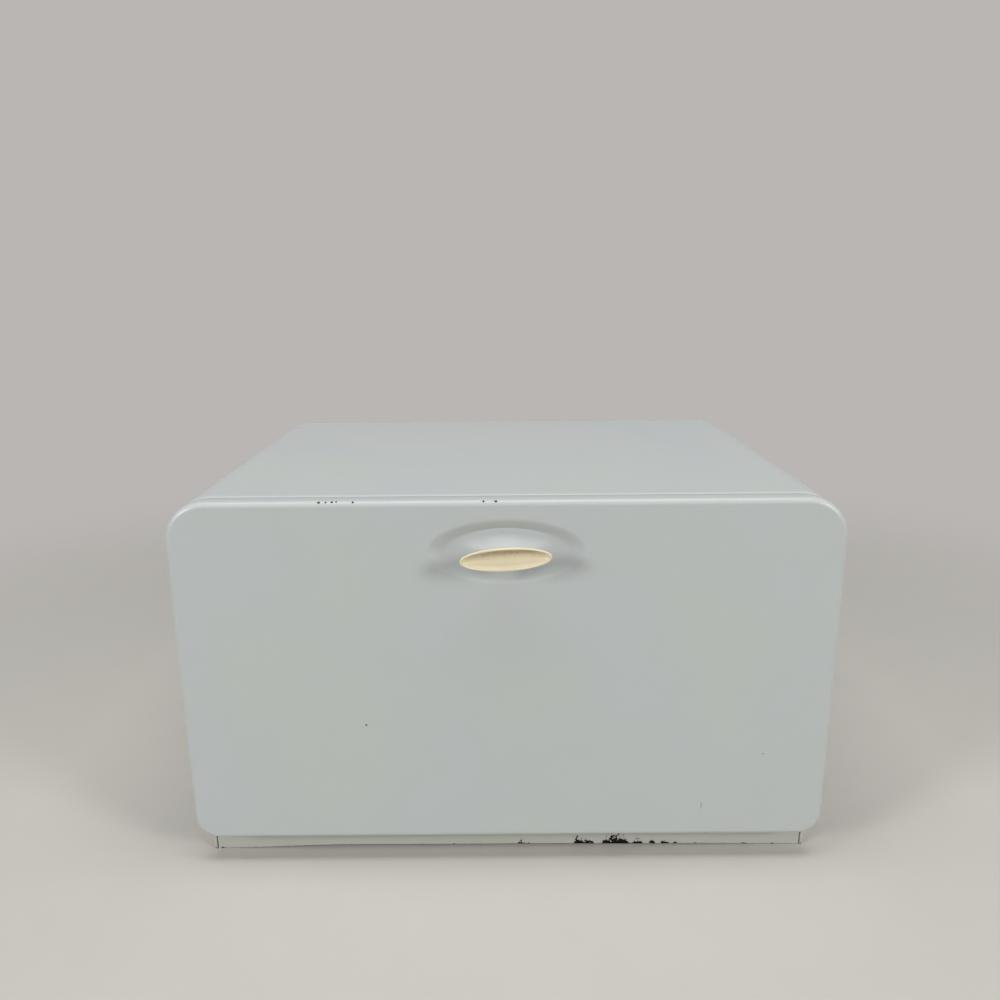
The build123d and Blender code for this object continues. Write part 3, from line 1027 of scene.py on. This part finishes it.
@dataclass(frozen=True)
class CaseShell:
    """The wrapped body: one sheet round the outline, its front edge folded back inside."""

    sheet: float = 0.8
    hem: float = 8.0
    hem_round: float = 0.3
    fold_run: float = 2.2  # how far back the fold starts to round off
    hold: float = 0.4  # from a bend to the ring that keeps the flat part flat
    past_hem: float = 0.05  # from the hem's end to the next ring inside

    def build(self, palette: Palette) -> None:
        """Makes the shell and dresses it.

        Its profile is a closed loop: forwards along the outside, round the fold, which is half
        an ellipse, back along the hem, over the hem's end, back along the inside and round the
        cut rear edge.
        """
        low, high = corners_mm("case_shell")
        outline = RoundedOutline.of_node("case_shell")
        points, outward = outline.trace(corner_steps=24, side_steps=(24, 16, 24, 16))
        fold, half = self.sheet, self.sheet / 2
        start = low[1] + self.fold_run + self.hold
        rear = high[1] - half
        end = rear - self.hold
        hem_end = low[1] + self.hem
        half_turn = arc((0.0, 0.0), 1.0, 180, 360, 20)
        profile = np.concatenate([
            run_along((0.0, end), (0.0, start), 12),
            (fold, start - self.hold) + half_turn * (fold, self.fold_run),
            run_along((2 * fold, start), (2 * fold, hem_end - self.hem_round - self.hold), 2),
            arc((2 * fold - self.hem_round, hem_end - self.hem_round), self.hem_round, 0, 90, 4),
            run_along((fold, hem_end + self.past_hem), (fold, end), 12),
            arc((half, rear), half, 0, 180, 8),
        ])
        skin = Skin()
        skin.add_rings(carried_round(points, outward, profile), closed=True)
        palette.dress(skin.piece("case_wrap"), Finish.ENAMEL, Body.CASE, "case_shell")


@dataclass(frozen=True)
class RustPatch:
    """A stretch of the skirt's lower edge that has lost its paint."""

    x: float
    half_width: float
    height: float


@dataclass(frozen=True)
class Plinth:
    """The upturned tray under the body: a bowed skirt, hemmed sides and open corners."""

    sheet: float = 0.8
    hem: float = 8.0
    slit: float = 0.7
    lip: float = 10.0
    bend: float = 1.2
    corner: float = 1.2  # of the plate, seen from above
    edge: float = 0.38
    hold: float = 0.3  # from a round edge to the ring that keeps the flat part flat
    bend_hold: float = 0.4  # and from a bend
    end_round: float = 0.35  # rounding of the ends of the sides and their flaps
    column: float = 0.8  # spacing of the skirt's points along X
    rows: int = 12  # points up each face of the skirt, and how they crowd towards its edge
    crowding: float = 1.4
    worn_and_shadow_line: float = 0.28  # height of the rust along the whole front edge, rear edge and sides; along the front edge it is also a painted contact shadow
    rear_line: float = 0.2
    side_line: float = 0.35
    clear: float = 5.0  # height above the edge given to places that rust never reaches
    # x and height of the skirt's lower edge above the table, which has been knocked up
    bow: tuple[Pair, ...] = ((-173.2, 0.0), (-96.0, 1.7), (0.0, 1.5), (105.0, 0.8), (173.2, 0.0))
    patches: tuple[RustPatch, ...] = (
        RustPatch(-170.5, 2.4, 1.0),
        RustPatch(-52.0, 0.9, 0.7),
        RustPatch(-32.5, 1.0, 0.8),
        RustPatch(7.7, 2.3, 1.9),
        RustPatch(7.7, 0.9, 3.0),
        RustPatch(12.0, 0.7, 0.8),
        RustPatch(28.0, 0.8, 0.6),
        RustPatch(45.0, 6.4, 2.7),
        RustPatch(41.0, 1.4, 4.4),
        RustPatch(64.0, 8.4, 4.9),
        RustPatch(64.5, 4.8, 6.2),
        RustPatch(77.0, 3.4, 2.6),
        RustPatch(86.0, 2.1, 1.9),
        RustPatch(93.2, 2.6, 2.4),
        RustPatch(99.0, 2.0, 1.2),
        RustPatch(112.0, 1.0, 0.7),
        RustPatch(140.0, 2.0, 0.8),
        RustPatch(158.0, 1.4, 1.0),
    )

    def lower_edge(self, x: Array) -> Array:
        """Height of the skirt's lower edge: its few points joined by half cosines."""
        knots = np.array(self.bow)
        span = np.clip(np.searchsorted(knots[:, 0], x, side="right") - 1, 0, len(knots) - 2)
        share = (x - knots[span, 0]) / (knots[span + 1, 0] - knots[span, 0])
        eased = (1 - np.cos(math.pi * np.clip(share, 0, 1))) / 2
        return knots[span, 1] + eased * (knots[span + 1, 1] - knots[span, 1])

    def rust_height(self, x: Array) -> Array:
        """How high rust has climbed: the highest of the patches' half-ellipse humps, and a bare
        line along the whole edge, which stands for worn paint and a painted contact shadow."""
        # A thin dark line along the whole front edge: worn paint, and painted contact shadow.
        height = np.full(x.shape, self.worn_and_shadow_line)
        for patch in self.patches:
            share = np.clip(1 - ((x - patch.x) / patch.half_width) ** 2, 0, None)
            height = np.maximum(height, patch.height * np.sqrt(share))
        return height

    def skirt(self, half: float, y: float, top: float, facing: int) -> tuple[Array, Array]:
        """One skirt as a grid of closed sections across X. The front one's lower edge is bowed.

        A section goes down the outer face, round the lower edge and up the inner face.

        Args:
            half: half the skirt's width.
            y: its outer face.
            top: the height of its upper edge.
            facing: -1 for the front skirt and 1 for the rear one.

        Returns:
            The grid, and each point's height above the lower edge.
        """
        x = np.linspace(-half, half, int(2 * half / self.column))
        foot = self.lower_edge(x) if facing < 0 else np.zeros(len(x))
        half_sheet = self.sheet / 2
        up = np.linspace(1.0, 0.0, self.rows) ** self.crowding
        body = half_sheet + up * (top - half_sheet)
        tip = arc((half_sheet, half_sheet), half_sheet, 180, 360, 8)
        inward = np.concatenate([np.zeros(self.rows), tip[:, 0], np.full(self.rows, self.sheet)])
        base = np.concatenate([body, tip[:, 1], body[::-1]])
        above = base[None] * ((top - foot[:, None]) / top)
        return stacked(x[:, None], (y - facing * inward)[None], foot[:, None] + above), above

    def build(self, palette: Palette) -> None:
        """Makes the plinth from its skirts, sides and plate, and dresses it."""
        low, high = corners_mm("plinth")
        half = high[0] - 2 * self.sheet - self.slit
        parts = []  # each grid, its points' heights above the edge, and how high rust has climbed
        for y, facing in ((low[1], -1), (high[1], 1)):
            grid, height = self.skirt(half, y, high[2] - self.sheet / 2, facing)
            climb = self.rust_height(grid[:, :1, 0]) if facing < 0 else self.rear_line
            parts.append((grid, height, climb))
        sides = [grid for sign in (-1, 1) for grid in self.side_grids(sign, low, high)]
        parts += [(grid, grid[..., 2], self.side_line) for grid in sides]
        plate = self.plate_grid(low, high)
        parts.append((plate, np.full(plate.shape[:2], self.clear), 0.0))
        skin = Skin()
        above, rust = [], []
        for grid, height, climb in parts:
            skin.add_rings(grid)
            above += [height, np.full(2, self.clear)]
            rust += [np.broadcast_to(climb, height.shape), np.zeros(2)]
        piece = skin.piece("plinth_tray")
        store(piece, "above_edge", above, MM)
        store(piece, "rust_height", rust, MM)
        palette.dress(piece, Finish.RUSTED_ENAMEL, Body.CASE, "plinth")

    def side_grids(self, sign: int, low: Array, high: Array) -> list[Array]:
        """A side wall with its inward foot, and the folded-back flaps at its two ends.

        Args:
            sign: -1 for the left side and 1 for the right one.
            low: the plinth's lowest corner.
            high: its highest corner.

        Returns:
            Grids of closed sections across Y.
        """
        t, r, edge = self.sheet, self.bend, self.edge
        side, front, rear = high[0], low[1], high[1]
        upper, held = high[2] - t / 2, r + self.bend_hold
        foot_end = self.lip - t / 2 - self.hold
        wall = np.concatenate([
            [[0.0, upper], [0.0, held]],
            arc((r, r), r, 180, 270, 8),
            run_along((held, 0.0), (foot_end, 0.0), 2),
            arc((self.lip - t / 2, t / 2), t / 2, -90, 90, 6),
            run_along((foot_end, t), (held, t), 2),
            arc((r, r), r - t, 270, 180, 6),
            [[t, held], [t, upper]],
        ])
        double = np.concatenate([
            [[0.0, upper], [0.0, edge + self.hold]],
            arc((edge, edge), edge, 180, 270, 4),
            arc((2 * t - edge, edge), edge, 270, 360, 4),
            [[2 * t, edge + self.hold], [2 * t, upper]],
        ])
        single = double * (0.5, 1.0)
        ends = self.end_round * np.array([0.0, 0.3, 1.0])
        shrink = self.end_round * np.array([0.6, 0.2, 0.0, 0.0, 0.2, 0.6])
        grids = []
        for profile, start, end in (
            (wall, front + 2 * self.hem, rear - 2 * self.hem),
            (double, front, front + self.hem),
            (single, front + self.hem, front + 2 * self.hem),
            (double, rear - self.hem, rear),
            (single, rear - 2 * self.hem, rear - self.hem),
        ):
            y = np.concatenate([start + ends, end - ends[::-1]])
            x = sign * (side - profile[:, 0])
            inward = np.sign(sign * (side - profile[:, 0].mean()) - x)
            grids.append(stacked(x + inward * shrink[:, None], y[:, None], profile[:, 1]))
        return grids

    def plate_grid(self, low: Array, high: Array) -> Array:
        """The plate under the body, as rings round its rim from the underside to the top.

        Args:
            low: the plinth's lowest corner.
            high: its highest corner.

        Returns:
            A grid of rings.
        """
        outline = RoundedOutline(high[0], low[1], high[1], self.corner, self.corner)
        points, outward = outline.trace(corner_steps=6, side_steps=(8, 6, 8, 6))
        half, top = self.sheet / 2, high[2]
        inset = half + self.hold
        rim = arc((half, top - half), half, -90, -270, 8)
        profile = np.concatenate([[[inset, top - self.sheet]], rim, [[inset, top]]])
        rings = carried_round(points, outward, profile)[..., [0, 2, 1]]
        below = closed_towards(rings[0], (0.4, 0.95))
        above = closed_towards(rings[-1], (0.95, 0.4))
        return np.concatenate([below, rings, above])


# ----- The tray


@dataclass(frozen=True)
class BreadTray:
    """The folded tray behind the front, with a rim rolled outwards round a wire."""

    sheet: float = 0.8
    bend: float = 2.0
    hold: float = 0.4  # from a bend to the ring that keeps the flat part flat
    rear_corner: float = 4.0
    front_corner: float = 2.6
    bore: float = 1.35
    overlap: float = 0.1  # how far the roll's bore reaches into the wall's outer face
    roll_start: float = 200.0  # the angle at which the roll leaves the wall
    roll_turn: float = 300.0  # how far the rim is rolled

    def build(self, palette: Palette) -> None:
        """Makes the tray's walls and floor and its rolled rim, and dresses them."""
        low, high = corners_mm("drawer_tray")
        wire_low, wire_high = corners_mm("rim_wire")
        offset = self.bore - self.overlap
        side = high[0] - self.bore - self.sheet - offset
        rear = wire_high[1] - (wire_high[2] - wire_low[2]) / 2 - offset
        rim = (wire_low[2] + wire_high[2]) / 2
        skin = Skin()
        skin.add_rings(self.wall_grid(side, low[1], rear, low[2], rim))
        skin.add_rings(self.rim_grid(side, low[1], rear, rim, offset))
        palette.dress(skin.piece("folded_tray"), Finish.ENAMEL, Body.DRAWER, "drawer_tray")

    def wall_grid(self, side: float, front: float, rear: float, floor: float, rim: float) -> Array:
        """Rings from the middle of the inner floor, up the inner wall, over the upper edge, down
        the outer wall and in under the floor.

        Args:
            side: half the tray's outer width.
            front: its outer front face.
            rear: its outer rear face.
            floor: its underside.
            rim: the height of its upper edge.

        Returns:
            A grid of rings.
        """
        outline = RoundedOutline(side, front, rear, self.rear_corner, self.front_corner)
        points, outward = outline.trace(corner_steps=10, side_steps=(20, 14, 20, 14))
        t, r, hold = self.sheet, self.bend, self.hold
        top, held = rim - t / 2, floor + r + hold
        profile = np.concatenate([
            [[r + hold, floor + t]],
            arc((r, floor + r), r - t, 270, 180, 8),
            run_along((t, held), (t, top - hold), 6),
            arc((t / 2, top), t / 2, 0, 180, 6),
            run_along((0.0, top - hold), (0.0, held), 6),
            arc((r, floor + r), r, 180, 270, 8),
            [[r + hold, floor]],
        ])
        rings = carried_round(points, outward, profile)[..., [0, 2, 1]]
        inside = closed_towards(rings[0], (0.3, 0.65, 0.95))
        underside = closed_towards(rings[-1], (0.95, 0.65, 0.3))
        return np.concatenate([inside, rings, underside])

    def rim_grid(self, side: float, front: float, rear: float, rim: float, offset: float) -> Array:
        """The roll: an open ring of sheet carried along the left, rear and right edges.

        The path turns its rear corners on arcs round the same centres as the walls. A section
        is the outer arc and the inner arc of the rolled sheet, round the wire's middle.

        Args:
            side: half the tray's outer width.
            front: where the roll starts along Y.
            rear: the tray's outer rear face.
            rim: the height of the wire's middle.
            offset: from the wall's outer face to the wire's middle.

        Returns:
            A grid of closed sections.
        """
        centre = np.array([side - self.rear_corner, rear - self.rear_corner])
        first = np.array([centre[0], front + self.sheet])
        quarter = arc((0.0, 0.0), 1.0, 0, 90, 12)
        outward = np.concatenate([[[1.0, 0.0]], quarter, quarter[::-1] * (-1, 1), [[-1.0, 0.0]]])
        right = np.concatenate([[first], np.repeat([centre], len(quarter), axis=0)])
        radius = self.rear_corner + offset
        path = np.concatenate([right, right[::-1] * (-1, 1)]) + outward * radius
        start, end = self.roll_start, self.roll_start - self.roll_turn
        outer = arc((0.0, 0.0), self.bore + self.sheet, start, end, 40)
        section = np.concatenate([outer, arc((0.0, 0.0), self.bore, end, start, 40)])
        flat = path[:, None, :] + outward[:, None, :] * section[None, :, :1]
        return stacked(flat[..., 0], flat[..., 1], rim + section[:, 1])


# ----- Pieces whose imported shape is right


@dataclass(frozen=True)
class CarriedPiece:
    """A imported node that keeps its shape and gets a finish."""

    node: str
    finish: Finish
    body: Body
    crease: float = 32.0

    def build(self, palette: Palette) -> None:
        """Makes the smooth copy and dresses it."""
        palette.dress(smooth_copy(self.node, self.crease), self.finish, self.body, self.node)


ROUND_CREASE = 50.0  # for wires and domed heads, whose packed facets turn further

CARRIED_PIECES = (
    CarriedPiece("back_panel", Finish.ENAMEL, Body.CASE),
    CarriedPiece("runner_left", Finish.ZINC, Body.CASE),
    CarriedPiece("runner_right", Finish.ZINC, Body.CASE),
    CarriedPiece("stop_screws", Finish.ZINC, Body.CASE),
    CarriedPiece("rear_buffers", Finish.RUBBER, Body.CASE),
    CarriedPiece("plinth_rivets", Finish.ZINC, Body.CASE, ROUND_CREASE),
    CarriedPiece("runner_rivets", Finish.RIVET_ENAMEL, Body.CASE, ROUND_CREASE),
    CarriedPiece("front_liner", Finish.ENAMEL, Body.DRAWER),
    CarriedPiece("rim_wire", Finish.ZINC, Body.DRAWER, ROUND_CREASE),
    CarriedPiece("slide_left", Finish.ZINC, Body.DRAWER),
    CarriedPiece("slide_right", Finish.ZINC, Body.DRAWER),
    CarriedPiece("slide_rivets", Finish.ZINC, Body.DRAWER, ROUND_CREASE),
    CarriedPiece("tray_rivets", Finish.ZINC, Body.DRAWER, ROUND_CREASE),
    CarriedPiece("front_screws", Finish.ZINC, Body.DRAWER),
    CarriedPiece("front_nuts", Finish.ZINC, Body.DRAWER),
    CarriedPiece("handle_insert", Finish.BRASS, Body.DRAWER),
    CarriedPiece("handle_screw", Finish.ZINC, Body.DRAWER),
    CarriedPiece("handle_washer", Finish.ZINC, Body.DRAWER),
)


# ----- The picture


@dataclass(frozen=True)
class Viewpoint:
    """The photograph's camera, found by fitting the box's known edges to it."""

    place: Triple = (-2.6, -539.8, 327.0)
    yaw: float = 0.0015  # the three turns are in radians
    pitch: float = 0.2553
    roll: float = -0.0085
    focal: float = 838.9  # in pixels of a picture 1000 pixels wide
    picture_width: float = 1000.0
    sensor: float = 36.0

    def build(self) -> None:
        """Makes the camera and sets it as the scene's."""
        data = bpy.data.cameras.new("camera")
        data.sensor_width = self.sensor
        data.lens = self.focal / self.picture_width * self.sensor
        camera = add_object("camera", data)
        turned = Matrix.Rotation(math.radians(90), 4, "X")
        for angle, axis in ((self.yaw, "Y"), (-self.pitch, "X"), (self.roll, "Z")):
            turned = turned @ Matrix.Rotation(angle, 4, axis)
        camera.matrix_world = Matrix.Translation(Vector(self.place) * MM) @ turned
        bpy.context.scene.camera = camera


@dataclass(frozen=True)
class Lamp:
    """A soft lamp: a rectangle of light aimed at the middle of the box."""

    name: str
    place: Triple  # in metres, as the size
    size: Pair
    power: float

    def build(self, target: Vector) -> None:
        """Makes the lamp.

        Args:
            target: the point that it is aimed at.
        """
        data = bpy.data.lights.new(self.name, "AREA")
        data.shape = "RECTANGLE"
        data.size, data.size_y = self.size
        data.energy = self.power
        lamp = add_object(self.name, data)
        lamp.location = self.place
        lamp.rotation_euler = (target - lamp.location).to_track_quat("-Z", "Y").to_euler()


@dataclass(frozen=True)
class Studio:
    """A pale floor that fades into a pale surround, two soft lamps far out to the sides and a
    wide one overhead. Lengths are metres."""

    floor_colour: str = "#C6C3BC"
    worn_floor_colour: str = "#C2BFB8"
    floor_roughness: float = 0.55
    floor_grain: float = 40.0  # mm
    surround_colour: str = "#B9B6B3"
    horizon_light: float = 0.16
    zenith_light: float = 0.2
    shown_zenith: float = 1.1
    floor_radius: float = 4.0
    fade_start: float = 0.32
    fade_end: float = 0.95
    target: Triple = (0.0, 0.0, 0.1)
    lamps: tuple[Lamp, ...] = (
        Lamp("left_lamp", (-1.54, -1.2, 0.87), (0.45, 0.45), 18.6),
        Lamp("right_lamp", (1.54, -1.2, 0.87), (0.45, 0.45), 18.1),
        Lamp("overhead_lamp", (0.0, -0.26, 1.79), (1.6, 0.6), 16.1),
    )

    def build(self) -> None:
        """Makes the floor, the surround and the lamps."""
        self.make_floor()
        self.make_surround()
        for lamp in self.lamps:
            lamp.build(Vector(self.target))

    def make_floor(self) -> None:
        """Makes the floor: a flat disc whose colour goes over into the surround's own light."""
        ring = arc((0.0, 0.0), self.floor_radius, 0, 360, 96)[:-1]
        mesh = bpy.data.meshes.new("floor")
        mesh.from_pydata([(x, y, 0.0) for x, y in ring.tolist()], [], [list(range(len(ring)))])
        floor = add_object("floor", mesh)
        material, tree, shader, place = new_material("painted table top")
        grain = {"Vector": place, "Scale": per_metre(self.floor_grain), "Detail": 4.0}
        tones = {"Factor": add_node(tree, "TexNoise", grain)}
        tones |= {"A": linear(self.floor_colour), "B": linear(self.worn_floor_colour)}
        colour = add_node(tree, "Mix", tones, data_type="RGBA")
        feed(tree, shader, {"Base Color": colour, "Roughness": self.floor_roughness})
        distance = add_node(tree, "VectorMath", {0: place}, operation="LENGTH")
        fade = {"Value": distance, "From Min": self.fade_start, "From Max": self.fade_end}
        fade = add_node(tree, "MapRange", fade, interpolation_type="SMOOTHSTEP")
        glow = add_node(tree, "Emission", {"Color": linear(self.surround_colour)})
        rays = add_node(tree, "LightPath").outputs
        seen = {0: rays["Is Camera Ray"], 1: rays["Is Glossy Ray"]}
        seen = add_node(tree, "Math", seen, operation="MAXIMUM")
        far = add_node(tree, "Math", {0: fade, 1: seen}, operation="MULTIPLY")
        mixed = add_node(tree, "MixShader", {0: far, 1: shader, 2: glow})
        feed(tree, tree.nodes["Material Output"], {"Surface": mixed})
        mesh.materials.append(material)

    def make_surround(self) -> None:
        """Makes the world: the surround's colour where it is seen or mirrored, and a white
        light that grows from the horizon to the zenith otherwise."""
        world = bpy.data.worlds.new("surround")
        bpy.context.scene.world = world
        world.use_nodes = True
        tree = world.node_tree
        tree.nodes.clear()
        rays = add_node(tree, "LightPath").outputs
        seen = rays["Is Camera Ray"]
        for kind in ("Is Glossy Ray", "Is Transmission Ray"):
            seen = add_node(tree, "Math", {0: seen, 1: rays[kind]}, operation="MAXIMUM")
        direction = add_node(tree, "TexCoord").outputs["Generated"]
        height = add_node(tree, "SeparateXYZ", {0: direction}).outputs["Z"]
        glow = {"Value": height, "To Min": self.horizon_light, "To Max": self.zenith_light}
        glow = add_node(tree, "MapRange", glow)
        light = add_node(tree, "Background", {"Color": (1.0, 1.0, 1.0, 1.0), "Strength": glow})
        upper = add_node(tree, "MapRange", {"Value": height, "From Min": 0.3})
        white = linear("#FFFFFF", self.shown_zenith)
        tones = {"Factor": upper, "A": linear(self.surround_colour), "B": white}
        tone = add_node(tree, "Mix", tones, data_type="RGBA")
        shown = add_node(tree, "Background", {"Color": tone, "Strength": 1.0})
        mixed = add_node(tree, "MixShader", {0: seen, 1: light, 2: shown})
        add_node(tree, "OutputWorld", {"Surface": mixed})


def main() -> None:
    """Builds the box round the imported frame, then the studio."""
    logging.basicConfig(level=logging.INFO, format="%(name)s %(message)s")
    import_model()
    bpy.context.scene.view_settings.view_transform = "Standard"
    front = DrawerFront()
    palette = Palette(front.marks, corners_mm("drawer_front")[0][1])
    for part in (front, Handle(), CaseShell(), Plinth(), BreadTray(), *CARRIED_PIECES):
        part.build(palette)
    Viewpoint().build()
    Studio().build()


if __name__ == "__main__":
    main()
